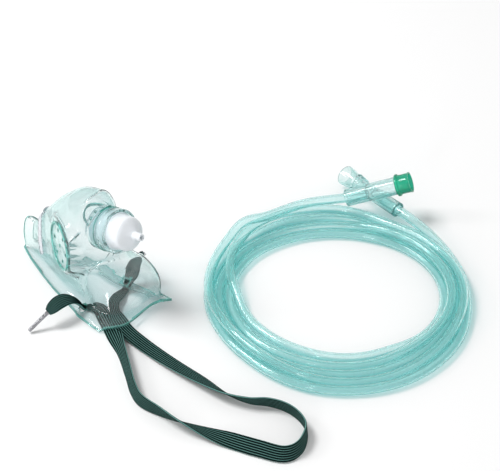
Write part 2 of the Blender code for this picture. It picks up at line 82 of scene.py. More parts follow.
STRAP_WIDTH, STRAP_THICKNESS, STRAP_RIBS = 8.6, 1.0, 7
NEAR_END = ((57.3, -36.0, 9.6, 4.6, 1.0, 10), (57.8, -34.0, 11.0, 7.0, 1.0, 14),
            (58.4, -29.4, 12.6, 8.2, 1.0, 20), (59.2, -24.4, 12.2, 7.4, 1.0, 20),
            (60.4, -20.2, 9.4, 5.0, 1.2, 10), (61.7, -17.9, 6.2, 3.2, 1.6, 0),
            (62.5, -16.3, 2.6, 3.0, 1.6, 0), (63.6, -14.0, 1.1, 4.2, 1.5, 0),
            (66.6, -11.2, 1.4, 7.2, 1.3, 4), (71.0, -10.9, 2.1, 8.0, 1.0, 6),
            (77.0, -12.8, 1.0, 8.6, 1.0, 4))
FAR_END = ((84.5, -9.9, 2.3, 8.6, 1.0, 180), (77.6, -7.0, 2.5, 6.4, 1.2, 180),
           (72.8, -2.8, 3.2, 6.4, 1.1, 174), (70.4, 2.2, 2.6, 7.2, 1.0, 176),
           (69.0, 6.4, 1.35, 5.6, 1.5, 180), (68.6, 9.6, 1.5, 4.3, 1.7, 180),
           (68.2, 12.4, 4.8, 5.2, 1.6, 180), (67.4, 16.4, 8.8, 7.6, 1.2, 194),
           (67.2, 19.2, 13.0, 7.6, 1.0, 204), (68.5, 21.8, 17.6, 5.6, 1.0, 208),
           (69.4, 23.2, 20.6, 2.8, 1.0, 210))
LOOP = ((12.2, -37.8, 5), (17.9, -53.1, 58), (22.8, -69.4, 70), (26.4, -82.1, 72),
        (31.0, -90.6, 80), (40.9, -97.8, 97), (51.8, -104.2, 126), (64.0, -109.1, 160),
        (77.5, -114.9, 200), (90.5, -120.8, 222), (103.2, -125.0, 236), (111.2, -120.8, 252),
        (114.7, -110.1, 264), (111.7, -101.6, 264), (104.8, -95.1, 262), (95.7, -91.6, 258),
        (85.5, -90.4, 248), (73.2, -84.9, 230), (60.6, -74.5, 206), (47.2, -63.7, 194),
        (33.3, -51.3, 184), (21.0, -39.9, 180))

TUBE_R, TUBE_BORE_R = 2.75, 1.8
SLEEVE_START, CAP_START, CAP_END = (142.95, 60.0, 11.5), (171.4, 57.1, 23.5), (179.1, 56.3, 26.75)
FUNNEL_MOUTH, FUNNEL_END = (143.9, 86.3, 7.0), (172.3, 49.9, 11.0)
# The supply tube's way round the coil, mm, from the oxygen connector to the funnel.
TUBE_ROUTE = (
    (139.1, 60.6, 9.9), (128, 60.2, 9.6), (116.3, 57.1, 9.8), (99.2, 45.9, 10.8),
    (89.4, 39.8, 10.6), (78.8, 33.8, 9.2), (63.8, 13.3, 7.8), (61.4, -1, 8),
    (62.9, -15, 7.8), (66.8, -27, 7.4), (73.6, -39.8, 7.2), (85.8, -55.3, 7),
    (103.0, -69.0, 5.5), (131.6, -77.2, 2.8), (169.4, -68.9, 2.9), (190.7, -49.4, 4.2),
    (201.9, -28.5, 7.2), (204.2, -4.6, 7.6), (195.7, 17.5, 7.6), (180, 34.1, 6.2),
    (167.1, 44.5, 4), (153, 55.6, 2.8), (135.3, 61.2, 2.8), (119.5, 60.2, 2.9),
    (108.5, 57.8, 4.4), (91.9, 44.3, 6.6), (83.4, 35.1, 8), (78.7, 25.9, 8), (76.2, 17.5, 8),
    (74.9, 6.5, 8), (74.5, -1.8, 7.4), (75.9, -10.7, 5.6), (79.1, -19.4, 3.6),
    (83.8, -29.3, 2.8), (92.9, -40.5, 2.8), (106.6, -51.6, 2.8), (132.3, -60.5, 2.8),
    (161.9, -56.8, 2.8), (184.8, -39.2, 2.8), (194.8, -10.6, 2.8), (184.8, 17.9, 2.8),
    (161.7, 35, 2.8), (135.3, 39.7, 2.8), (109, 35, 2.8), (84.9, 18.5, 2.8),
    (73.5, -10.6, 2.8), (82.8, -40.9, 2.8), (106.2, -58.6, 2.8), (132.1, -66.1, 2.8),
    (164.8, -61.9, 3.2), (184.8, -45.2, 6.2), (195.4, -26.7, 7.6), (197.5, -5.2, 7.6),
    (187.2, 19.3, 7.6), (167.4, 35.2, 7.4), (149.6, 42.7, 4.2), (135.3, 45.3, 2.8),
    (106.1, 40, 2.8), (80.2, 21.2, 2.8), (68.3, -10.6, 2.8), (78.3, -43.5, 2.8),
    (103.4, -64.3, 2.8), (131.9, -71.7, 2.8), (167, -65.4, 2.8), (190, -42.2, 2.8),
    (200.5, -10.6, 2.8), (189.7, 20.8, 2.8), (165, 40.8, 2.8), (151.1, 48.5, 2.8),
    (135.3, 53, 2.8), (102.2, 46.7, 2.8), (75, 24.2, 2.8), (63.2, -10.6, 2.8),
    (66.6, -27.2, 2.8), (75.4, -45.9, 2.8), (88.6, -62, 2.8), (107.4, -75.4, 2.8),
    (131.3, -82.5, 2.8), (171.9, -73.4, 2.8), (197.6, -46.6, 2.8), (206.3, -10.6, 2.8),
    (202.7, 11.3, 2.8), (198.1, 22.8, 3.2), (191.1, 31.9, 6.5), (183.5, 38.9, 9.5),
    (177.9, 43.6, 11.2))


# ---------------------------------------------------------------- geometry
ALONG = Vector((math.cos(MASK_TURN), math.sin(MASK_TURN), 0))
ACROSS = Vector((-math.sin(MASK_TURN), math.cos(MASK_TURN), 0))


def mask_to_world(s, t, z):
    return Vector((NOSE_X, NOSE_Y, 0)) + ALONG * s + ACROSS * t + Vector((0, 0, z))


def turn_to_world(s, t, z):
    return ALONG * s + ACROSS * t + Vector((0, 0, z))


def through(points, at):
    """Catmull-Rom curve through the points at a position counted in points."""
    last = len(points) - 1
    i = int(min(max(math.floor(at), 0), last - 1))
    f = at - i
    p1, p2 = points[i], points[i + 1]
    p0 = points[i - 1] if i > 0 else 2 * p1 - p2
    p3 = points[i + 2] if i + 2 <= last else 2 * p2 - p1
    return 0.5 * (2 * p1 + (p2 - p0) * f + (2 * p0 - 5 * p1 + 4 * p2 - p3) * f * f
                  + (3 * p1 - p0 - 3 * p2 + p3) * f ** 3)


def even_path(points, step):
    """Points along the curve through the given ones, about a step apart, ends kept."""
    points = np.array(points, float)
    dense = np.array([through(points, i / 24) for i in range((len(points) - 1) * 24 + 1)])
    way = np.concatenate([[0], np.cumsum(np.linalg.norm(np.diff(dense[:, :3], axis=0), axis=1))])
    at = np.linspace(0, way[-1], max(2, int(round(way[-1] / step)) + 1))
    return np.stack([np.interp(at, way, dense[:, k]) for k in range(dense.shape[1])], axis=1)


def mesh_object(name, verts, faces, look, smooth=True, sharp=35.0):
    mesh = bpy.data.meshes.new(name)
    mesh.from_pydata([tuple(v) for v in verts], [], faces)
    return finished(name, mesh, look, smooth, sharp)


def finished(name, mesh, look, smooth=True, sharp=35.0):
    bm = bmesh.new()
    bm.from_mesh(mesh)
    bmesh.ops.remove_doubles(bm, verts=bm.verts, dist=1e-7)
    bmesh.ops.recalc_face_normals(bm, faces=bm.faces)
    bm.to_mesh(mesh)
    bm.free()
    for face in mesh.polygons:
        face.use_smooth = smooth
    if smooth:
        mesh.set_sharp_from_angle(angle=math.radians(sharp))
    obj = bpy.data.objects.new(name, mesh)
    bpy.context.scene.collection.objects.link(obj)
    if look:
        mesh.materials.append(look)
    return obj


def axes_along(origin, direction):
    z = Vector(direction).normalized()
    x = Vector((0, 0, 1)).cross(z)
    x = x.normalized() if x.length > 1e-6 else Vector((1, 0, 0))
    y = z.cross(x)
    turn = Matrix((x, y, z)).transposed().to_4x4()
    return Matrix.Translation(Vector(origin) * MM) @ turn


def lathe(profile, steps, axes, wobble=0.0):
    """Points and faces of a closed (radius, height) profile in mm turned about the axes' z."""
    profile = [(max(r, 0.0), h) for r, h in profile]
    n = len(profile)
    verts, faces = [], []
    for k in range(steps):
        a = 2 * math.pi * k / steps
        for r, h in profile:
            grow = 1 + wobble * math.sin(2 * a + 0.7) if r > 0 else 1
            verts.append(axes @ Vector((r * grow * math.cos(a) * MM, r * grow * math.sin(a) * MM,
                                        h * MM)))
    for k in range(steps):
        m = (k + 1) % steps
        for i in range(n):
            j = (i + 1) % n
            if profile[i][0] < 1e-6 and profile[j][0] < 1e-6:
                continue
            if profile[i][0] < 1e-6:
                faces.append((k * n + i, m * n + j, k * n + j))
            elif profile[j][0] < 1e-6:
                faces.append((k * n + i, m * n + i, k * n + j))
            else:
                faces.append((k * n + i, m * n + i, m * n + j, k * n + j))
    return verts, faces


def rounded(profile, radius, steps=3):
    """A closed profile with its corners rounded, those on the axis left as they are."""
    out = []
    n = len(profile)
    for i in range(n):
        a, b, c = (np.array(profile[(i + k) % n], float) for k in (-1, 0, 1))
        la, lc = np.linalg.norm(a - b), np.linalg.norm(c - b)
        r = min(radius, la * 0.45, lc * 0.45)
        if b[0] < 1e-6 or r < 1e-3:
            out.append(tuple(b))
            continue
        p, q = b + (a - b) / la * r, b + (c - b) / lc * r
        for k in range(steps + 1):
            f = k / steps
            out.append(tuple((1 - f) ** 2 * p + 2 * f * (1 - f) * b + f * f * q))
    return out


def joined(parts):
    verts, faces = [], []
    for v, f in parts:
        base = len(verts)
        verts += v
        faces += [tuple(i + base for i in face) for face in f]
    return verts, faces


def boolean(obj, cutter, operation):
    bpy.context.view_layer.update()
    modifier = obj.modifiers.new(operation.lower(), "BOOLEAN")
    modifier.operation = operation
    modifier.solver = "EXACT"
    modifier.object = cutter
    graph = bpy.context.evaluated_depsgraph_get()
    mesh = bpy.data.meshes.new_from_object(obj.evaluated_get(graph))
    obj.modifiers.clear()
    obj.data = mesh
    bpy.data.objects.remove(cutter, do_unlink=True)


# --------------------------------------------------------------- materials
def new_material(name):
    made = bpy.data.materials.new(name)
    made.use_nodes = True
    nodes = made.node_tree.nodes
    return made, nodes, made.node_tree.links, nodes["Principled BSDF"], nodes["Material Output"]


def noise_node(nodes, links, scale, detail=4.0, rough=0.6, stretch=None):
    coords = nodes.new("ShaderNodeTexCoord")
    made = nodes.new("ShaderNodeTexNoise")
    made.inputs["Scale"].default_value = scale
    made.inputs["Detail"].default_value = detail
    made.inputs["Roughness"].default_value = rough
    if stretch:
        mapping = nodes.new("ShaderNodeMapping")
        mapping.inputs["Scale"].default_value = stretch
        links.new(coords.outputs["Object"], mapping.inputs["Vector"])
        links.new(mapping.outputs["Vector"], made.inputs["Vector"])
    else:
        links.new(coords.outputs["Object"], made.inputs["Vector"])
    return made


def ramp(nodes, links, source, low, high, start=0.35, end=0.65):
    made = nodes.new("ShaderNodeMapRange")
    made.inputs["From Min"].default_value = start
    made.inputs["From Max"].default_value = end
    made.inputs["To Min"].default_value = low
    made.inputs["To Max"].default_value = high
    links.new(source, made.inputs["Value"])
    return made.outputs["Result"]


def bump(nodes, links, source, strength, distance, into, under=None):
    made = nodes.new("ShaderNodeBump")
    made.inputs["Strength"].default_value = strength
    made.inputs["Distance"].default_value = distance
    links.new(source, made.inputs["Height"])
    if under is not None:
        links.new(under, made.inputs["Normal"])
    links.new(made.outputs["Normal"], into)
    return made.outputs["Normal"]


def clear_plastic(name, per_metre, tint, ior=1.45, roughness=0.03, face=(0.86, 0.95, 0.96),
                  rim=(0.30, 0.66, 0.62), ripple=(90.0, 0.00005), clarity=0.9, spread=0.35,
                  grazing=(0.45, 0.62, 0.62), gloss=0.5, milky=0.0, dome=None,
                  grain=900.0):
    """Glass-like plastic with real thickness: colour builds up along the path of the light,
    and a little haze in the plastic scatters some of it. Light on its way to what lies behind
    goes straight through, tinted, and less of it at a grazing angle. The plastic seen
    edge-on is the more hazy by milky, so that it is lit up in its own colour.
    Towards the top the face-on colour turns to the colour given as dome."""
    made, nodes, links, shader, output = new_material(name)
    facing = nodes.new("ShaderNodeLayerWeight")
    facing.inputs["Blend"].default_value = spread
    tone = nodes.new("ShaderNodeMix")
    tone.data_type = "RGBA"
    tone.inputs["A"].default_value = (*face, 1)
    tone.inputs["B"].default_value = (*rim, 1)
    if dome:
        where, split = nodes.new("ShaderNodeTexCoord"), nodes.new("ShaderNodeSeparateXYZ")
        links.new(where.outputs["Object"], split.inputs[0])
        height = nodes.new("ShaderNodeMix")
        height.data_type = "RGBA"
        height.inputs["A"].default_value = (*face, 1)
        height.inputs["B"].default_value = (*dome, 1)
        links.new(ramp(nodes, links, split.outputs["Z"], 0, 1, 0.030, 0.056),
                  height.inputs["Factor"])
        links.new(height.outputs["Result"], tone.inputs["A"])
    links.new(facing.outputs["Facing"], tone.inputs["Factor"])
    links.new(tone.outputs["Result"], shader.inputs["Base Color"])
    links.new(ramp(nodes, links, facing.outputs["Facing"], clarity, clarity - milky, 0.4, 0.92),
              shader.inputs["Transmission Weight"])
    shader.inputs["IOR"].default_value = ior
    shader.inputs["Specular IOR Level"].default_value = gloss
    coarse = noise_node(nodes, links, ripple[0], 1.5)
    fine = noise_node(nodes, links, grain, 3.0)
    links.new(ramp(nodes, links, fine.outputs["Fac"], roughness * 0.5, roughness * 1.8),
              shader.inputs["Roughness"])
    bump(nodes, links, coarse.outputs["Fac"], 0.6, ripple[1], shader.inputs["Normal"])
    clear = nodes.new("ShaderNodeBsdfTransparent")
    slant = nodes.new("ShaderNodeLayerWeight")
    slant.inputs["Blend"].default_value = 0.35
    passed = nodes.new("ShaderNodeMix")
    passed.data_type = "RGBA"
    passed.inputs["A"].default_value = (*tint, 1)
    passed.inputs["B"].default_value = (*grazing, 1)
    links.new(slant.outputs["Facing"], passed.inputs["Factor"])
    links.new(passed.outputs["Result"], clear.inputs["Color"])
    path = nodes.new("ShaderNodeLightPath")
    surface = shader.outputs["BSDF"]
    for kind in ("Is Diffuse Ray", "Is Shadow Ray"):
        mix = nodes.new("ShaderNodeMixShader")
        links.new(path.outputs[kind], mix.inputs["Fac"])
        links.new(surface, mix.inputs[1])
        links.new(clear.outputs["BSDF"], mix.inputs[2])
        surface = mix.outputs["Shader"]
    links.new(surface, output.inputs["Surface"])
    absorb = nodes.new("ShaderNodeVolumeAbsorption")
    strongest = max(per_metre)
    density = strongest * 1.25
    absorb.inputs["Color"].default_value = (*(1 - a / density for a in per_metre), 1)
    absorb.inputs["Density"].default_value = density
    links.new(absorb.outputs["Volume"], output.inputs["Volume"])
    return made


shell_look = clear_plastic("clear_aqua_pvc", (15.0, 8.0, 7.5), (0.945, 0.962, 0.966),
                           dome=(0.925, 0.935, 0.945), face=(0.985, 0.988, 0.99), rim=(0.12, 0.68, 0.60), spread=0.2,
                           clarity=0.98, grazing=(0.34, 0.58, 0.59), gloss=0.36, milky=0.45)
edge_look = clear_plastic("clear_aqua_edge", (120.0, 14.0, 22.0), (0.86, 0.94, 0.94),
                          face=(0.48, 0.96, 0.90), rim=(0.05, 0.74, 0.63), clarity=0.75,
                          milky=0.35)
tube_look = clear_plastic("aqua_tubing", (60.0, 4.0, 6.0), (0.93, 0.99, 0.988), roughness=0.012,
                          face=(0.94, 1.0, 1.0), rim=(0.04, 0.72, 0.66), spread=0.22,
                          ripple=(160.0, 0.000006), clarity=0.955, grazing=(0.12, 0.46, 0.47),
                          gloss=0.65, milky=0.3, grain=25.0)
fitting_look = clear_plastic("clear_fitting", (45.0, 16.0, 16.0), (0.92, 0.97, 0.97),
                             roughness=0.03, face=(0.93, 0.98, 0.98), rim=(0.12, 0.62, 0.55),
                             spread=0.32, clarity=0.94, milky=0.3)
green_look = clear_plastic("clear_green", (420.0, 50.0, 150.0), (0.10, 0.32, 0.26),
                           roughness=0.06, face=(0.05, 0.70, 0.47), rim=(0.0, 0.34, 0.20),
                           clarity=0.6, grazing=(0.02, 0.12, 0.09))


def white_plastic():
    made, nodes, links, shader, _ = new_material("white_plastic")
    tone = noise_node(nodes, links, 60.0, 5.0)
    mix = nodes.new("ShaderNodeMix")
    mix.data_type = "RGBA"
    mix.inputs["A"].default_value = (0.79, 0.825, 0.86, 1)
    mix.inputs["B"].default_value = (0.84, 0.875, 0.91, 1)
    links.new(ramp(nodes, links, tone.outputs["Fac"], 0, 1), mix.inputs["Factor"])
    links.new(mix.outputs["Result"], shader.inputs["Base Color"])
    links.new(ramp(nodes, links, tone.outputs["Fac"], 0.28, 0.42), shader.inputs["Roughness"])
    shader.inputs["Subsurface Weight"].default_value = 0.35
    shader.inputs["Subsurface Radius"].default_value = (0.004, 0.004, 0.004)
    fine = noise_node(nodes, links, 1400.0, 3.0)
    bump(nodes, links, fine.outputs["Fac"], 0.25, 0.00005, shader.inputs["Normal"])
    return made


def metal(name, low, high, rough, stretch, scale=700.0):
    made, nodes, links, shader, _ = new_material(name)
    grain = noise_node(nodes, links, scale, 4.0, stretch=stretch)
    mix = nodes.new("ShaderNodeMix")
    mix.data_type = "RGBA"
    mix.inputs["A"].default_value = (*low, 1)
    mix.inputs["B"].default_value = (*high, 1)
    links.new(ramp(nodes, links, grain.outputs["Fac"], 0, 1), mix.inputs["Factor"])
    links.new(mix.outputs["Result"], shader.inputs["Base Color"])
    shader.inputs["Metallic"].default_value = 1.0
    links.new(ramp(nodes, links, grain.outputs["Fac"], rough * 0.7, rough * 1.4),
              shader.inputs["Roughness"])
    bump(nodes, links, grain.outputs["Fac"], 0.3, 0.000015, shader.inputs["Normal"])
    return made


def elastic():
    """Ribbed woven band: UV u runs across it once for each rib, v along it in millimetres."""
    made, nodes, links, shader, _ = new_material("dark_green_elastic")
    uv = nodes.new("ShaderNodeUVMap")
    uv.uv_map = "weave"
    split = nodes.new("ShaderNodeSeparateXYZ")
    links.new(uv.outputs["UV"], split.inputs["Vector"])

    def maths(operation, a, b=None):
        node = nodes.new("ShaderNodeMath")
        node.operation = operation
        for socket, value in zip(node.inputs, (a, b)):
            if value is None:
                continue
            if isinstance(value, (int, float)):
                socket.default_value = value
            else:
                links.new(value, socket)
        return node.outputs[0]

    rib = maths("ABSOLUTE", maths("COSINE", maths("MULTIPLY", split.outputs["X"], math.pi)))
    row = maths("FLOOR", split.outputs["X"])
    stitch = maths("SINE", maths("ADD", maths("MULTIPLY", split.outputs["Y"], 2 * math.pi / 0.62),
                                 maths("MULTIPLY", row, math.pi)))
    groove = maths("POWER", rib, 12.0)
    fuzz = noise_node(nodes, links, 2600.0, 4.0)
    shade = maths("ADD", maths("MULTIPLY", groove, 0.75),
                  maths("ADD", maths("MULTIPLY", stitch, 0.08),
                        maths("MULTIPLY", fuzz.outputs["Fac"], 0.2)))
    weave = maths("ADD", maths("MULTIPLY", groove, -0.25), maths("MULTIPLY", stitch, 0.3))
    mix = nodes.new("ShaderNodeMix")
    mix.data_type = "RGBA"
    mix.inputs["A"].default_value = (0.0010, 0.0076, 0.0064, 1)
    mix.inputs["B"].default_value = (0.15, 0.33, 0.30, 1)
    links.new(ramp(nodes, links, shade, 0, 1, 0.16, 0.95), mix.inputs["Factor"])
    links.new(mix.outputs["Result"], shader.inputs["Base Color"])
    shader.inputs["Roughness"].default_value = 0.82
    shader.inputs["Specular IOR Level"].default_value = 0.05
    shader.inputs["Sheen Weight"].default_value = 0.01
    shader.inputs["Sheen Roughness"].default_value = 0.4
    shader.inputs["Sheen Tint"].default_value = (0.35, 0.75, 0.68, 1)
    bump(nodes, links, weave, 0.6, 0.00012, shader.inputs["Normal"])
    return made


white_look = white_plastic()
aluminium_look = metal("aluminium", (0.66, 0.68, 0.72), (0.86, 0.88, 0.92), 0.26, (1, 1, 1))
steel_look = metal("crimped_metal", (0.25, 0.25, 0.26), (0.34, 0.34, 0.36), 0.20, (1, 1, 1), 300.0)
elastic_look = elastic()


# -------------------------------------------------------------- mask shell
def arch(row):
    sn, tn, sf, tf, fn, ff, wn, wf, top_s, top_t, top_z, power, foot = row
    near_foot, far_foot = tn + fn, tf - ff
    points = [(sn, tn, RIM_TOP), (sn, tn + fn * RIM_BAND, RIM_TOP)]
    for angle in np.linspace(0, math.pi, SECTION):
        c, d = math.cos(angle), max(math.sin(angle), 0.0)
        u = -math.copysign(abs(c) ** (2 / power), c)
        rise = abs(d) ** (2 / power)
        swell = math.sin(math.pi / 2 * min(rise / 0.55, 1))
        near = near_foot + (wn - near_foot) * swell
        far = far_foot + (wf - far_foot) * swell
        t = top_t + (u * (top_t - near) if u < 0 else u * (far - top_t))
        s = sn + (sf - sn) * (u + 1) / 2
        s += (top_s - (sn + sf) / 2) * rise ** 1.1 * (1 - 0.6 * u * u)
        points.append((s, t, foot + (top_z - foot) * rise))
    points += [(sf, tf - ff * RIM_BAND, RIM_TOP), (sf, tf, RIM_TOP)]
    return np.array(points)


def flat_row(line):
    line = np.array(line, float)
    inner = line[1:-1]
    points = [line[0], line[0] * 0.66 + line[1] * 0.34]
    for k in range(SECTION):
        points.append(through(inner, k / (SECTION - 1) * (len(inner) - 1)))
    points += [line[-1] * 0.66 + line[-2] * 0.34, line[-1]]
    return np.array(points)


def with_fillet(row):
    """Adds points between the flat rim and the wall's foot, bent as a moulded fillet."""
    def side(edge, band, foot):
        out = [edge + (band - edge) * f for f in (0.0, 0.35, 0.7)]
        for f in (0.0, 0.2, 0.4, 0.6, 0.8):
            p = band + (foot - band) * f
            p = np.array((p[0], p[1], band[2] + (foot[2] - band[2]) * f ** 1.7))
            out.append(p)
        return out
    near = side(row[0], row[1], row[2])
    far = side(row[-1], row[-2], row[-3])
    return np.array(near + list(row[2:-2]) + far[::-1])


def mask_rows():
    return np.array([arch(row) for row in ARCHES] + [flat_row(CHIN_FOOT)])


def vent_axes(centre, side):
    normal = np.array((-math.sin(VENT_TURN), side * math.cos(VENT_TURN), 0.10))
    normal /= np.linalg.norm(normal)
    return np.array(centre), normal


def flattened(points):
    for centre, side in ((VENT_NEAR, -1), (VENT_FAR, 1)):
        centre, normal = vent_axes(centre, side)
        off = (points - centre) @ normal
        in_plane = np.linalg.norm(points - centre - off[..., None] * normal, axis=-1)
        share = np.clip((19.5 - in_plane) / 4.5, 0, 1) * (np.abs(off) < 9)
        share = share * share * (3 - 2 * share)
        points = points - (off * share)[..., None] * normal
    return points


rows = mask_rows()


def mask_surface():
    found = [with_fillet(through(rows, i / ROW_STEPS))
             for i in range((len(rows) - 1) * ROW_STEPS + 1)]
    edge = with_fillet(flat_row(CHIN_EDGE))
    for f in (0.12, 0.25, 0.4, 0.6, 0.8, 0.93, 1.0):
        found.append(found[(len(rows) - 1) * ROW_STEPS] * (1 - f) + edge * f)
    return flattened(np.array(found))


# Sharp folds of the squeezed shell in the mask's axes: points, half-width, how far it stands out.
FOLDS = (
    (((28, -8.4, 46), (38.7, -9.6, 50.5), (48.7, -11.4, 50.5), (57.5, -12.0, 50)), 2.0, 0.9),
    (((58.5, -13.6, 34), (59.5, -14.4, 26), (60.5, -14.6, 17), (62, -14.2, 9)), 1.8, -0.8),
    (((61.0, -12.2, 28.5), (66.5, -11.0, 28.5), (73.0, -7.4, 28.5), (76.5, -1.2, 28),
      (76.6, 8.4, 28), (75.3, 20, 27)), 1.7, 1.1),
    (((50.5, -14.6, 34), (55, -14.3, 33.2), (60, -13.4, 32.2)), 1.3, 0.9),
    (((51.5, -14.8, 28.5), (56, -14.4, 29.6), (60.5, -13.2, 29.0)), 1.1, -0.9),
)


def on_line(points, line):
    """Distance of each point from a polyline."""
    best = np.full(len(points), 1e9)
    line = np.array(line, float)
    for a, b in zip(line, line[1:]):
        d = b - a
        f = np.clip((points - a) @ d / (d @ d), 0, 1)
        best = np.minimum(best, np.linalg.norm(points - a - f[:, None] * d, axis=1))
    return best


def shell_object():
    grid = mask_surface()
    count, across = grid.shape[:2]
    flat = grid.reshape(-1, 3)
    du = np.gradient(grid, axis=0)
    dv = np.gradient(grid, axis=1)
    normal = np.cross(du, dv).reshape(-1, 3)
    normal /= np.maximum(np.linalg.norm(normal, axis=1), 1e-9)[:, None]
    out = flat - np.array((48.0, 1.0, 15.0))
    normal *= np.where((normal * out).sum(axis=1) < 0, -1.0, 1.0)[:, None]
    high = np.clip((flat[:, 2] - 8.0) / 6.0, 0, 1)
    push = np.zeros(len(flat))
    for line, width, height in FOLDS:
        push += height * np.exp(-(on_line(flat, line) / width) ** 2)
    for centre, side in ((VENT_NEAR, -1), (VENT_FAR, 1)):
        push *= np.clip((np.linalg.norm(flat - np.array(centre), axis=1) - 14.5) / 3.0, 0, 1)
    port = np.array(PORT_AT)
    calm = np.clip((np.linalg.norm(flat - port, axis=1) - 11.0) / 4.0, 0, 1)
    for i, p in enumerate(flat):
        wave = perlin.noise(Vector(p) * 0.075) + 0.45 * perlin.noise(Vector(p) * 0.19)
        push[i] += 0.42 * wave
    flat = flat + normal * (push * high * calm)[:, None]
    verts = [mask_to_world(*p) * MM for p in flat]
    faces = []
    for i in range(count - 1):
        for j in range(across - 1):
            a, b = i * across + j, (i + 1) * across + j
            faces.append((a, b, b + 1, a + 1))
    mesh = bpy.data.meshes.new("shell")
    mesh.from_pydata([tuple(v) for v in verts], [], faces)
    obj = bpy.data.objects.new("mask_shell_visual", mesh)
    bpy.context.scene.collection.objects.link(obj)
    solid = obj.modifiers.new("wall", "SOLIDIFY")
    solid.thickness = SHELL * MM
    solid.offset = -1
    solid.use_even_offset = False
    graph = bpy.context.evaluated_depsgraph_get()
    obj.data = bpy.data.meshes.new_from_object(obj.evaluated_get(graph))
    obj.modifiers.clear()
    for vertex in obj.data.vertices:
        vertex.co.z = max(vertex.co.z, 0.0)
    return obj


def cutter(parts):
    verts, faces = joined(parts)
    mesh = bpy.data.meshes.new("cutter")
    mesh.from_pydata([tuple(v) for v in verts], [], faces)
    bm = bmesh.new()
    bm.from_mesh(mesh)
    bmesh.ops.remove_doubles(bm, verts=bm.verts, dist=1e-7)
    bmesh.ops.recalc_face_normals(bm, faces=bm.faces)
    bm.to_mesh(mesh)
    bm.free()
    obj = bpy.data.objects.new("cutter", mesh)
    bpy.context.scene.collection.objects.link(obj)
    return obj


port_axis = turn_to_world(math.cos(PORT_TILT) * math.cos(PORT_TURN),
                          math.cos(PORT_TILT) * math.sin(PORT_TURN), math.sin(PORT_TILT))
port_axes = axes_along(mask_to_world(*PORT_AT), port_axis)

shell = shell_object()
bare_mesh = shell.data.copy()
boolean(shell, cutter([lathe(((0, -4.5), (COLLAR_R, -4.5), (COLLAR_R, 0.6), (COLLAR_R, 1.5),
                              (COLLAR_R + 0.25, 1.8), (COLLAR_R + 0.25, 2.2), (COLLAR_R, 2.5),
                              (COLLAR_R, 4.9), (COLLAR_R + 0.14, 5.2), (COLLAR_R + 0.14, 5.5),
                              (COLLAR_R, 5.8), (COLLAR_R - 0.1, 8.9), (COLLAR_R + 0.1, 9.3), (COLLAR_R - 0.2, 9.9), (COLLAR_R - 0.7, 10.0),
                              (0, 10.0)), 96, port_axes)]), "UNION")
boolean(shell, cutter([lathe(((0, -9), (COLLAR_BORE, -9), (COLLAR_BORE, 12), (0, 12)), 96,
                             port_axes)]), "DIFFERENCE")
rings, holes = [], []
for centre, side in ((VENT_NEAR, -1), (VENT_FAR, 1)):
    centre, normal = vent_axes(centre, side)
    axes = axes_along(mask_to_world(*centre), turn_to_world(*normal))
    inner, outer = VENT_R - VENT_RING, VENT_R
    rings.append(lathe(((inner, -0.7), (outer, -0.7), (outer, 0.5), (outer - 0.25, 0.85),
                        (outer - 0.55, 0.95), (inner + 0.55, 0.95), (inner + 0.25, 0.85),
                        (inner, 0.5)), 72, axes))
    for k in range(VENT_HOLES + 1):
        angle = 2 * math.pi * k / VENT_HOLES
        reach = VENT_HOLE_CIRCLE if k < VENT_HOLES else 0.0
        holes.append(lathe(((0, -4), (VENT_HOLE_R, -4), (VENT_HOLE_R, 3), (0, 3)), 20,
                           axes @ Matrix.Translation((reach * MM * math.cos(angle),
                                                      reach * MM * math.sin(angle), 0))))
for s, t in STRAP_HOLES:
    holes.append(lathe(((0, -3), (STRAP_HOLE_R, -3), (STRAP_HOLE_R, 9), (0, 9)), 32,
                       axes_along(mask_to_world(s, t, 0), (0, 0, 1))))
boolean(shell, cutter(rings), "UNION")
boolean(shell, cutter(holes), "DIFFERENCE")
shell_mesh = shell.data
bpy.data.objects.remove(shell, do_unlink=True)
shell_mesh.materials.clear()
shell = finished("mask_shell_visual", shell_mesh, shell_look, sharp=32.0)
shell.data.materials.append(edge_look)


def even_shading(obj, bare):
    """Takes the corner normals from the sheet as it was before it was cut, so that no cut leaves
    a crease in the reflections."""
    tree = BVHTree.FromPolygons([v.co[:] for v in bare.vertices],
                                [tuple(face.vertices) for face in bare.polygons])
    mesh = obj.data
    own = [Vector(corner.vector) for corner in mesh.corner_normals]
    found = {}
    normals = [None] * len(mesh.loops)
    for face in mesh.polygons:
        for loop in face.loop_indices:
            vertex = mesh.loops[loop].vertex_index
            normals[loop] = own[loop]
            p = mesh.vertices[vertex].co.lerp(face.center, 0.02)
            place, flat, index, reach = tree.find_nearest(p, 0.03 * MM)
            if place is None or flat.dot(face.normal) < 0.9:
                continue
            total = Vector()
            for i in bare.polygons[index].vertices:
                total += bare.vertices[i].normal / max((bare.vertices[i].co - place).length, 1e-6)
            total.normalize()
            if total.dot(face.normal) > 0.75:
                normals[loop] = total
    mesh.normals_split_custom_set([tuple(n) for n in normals])


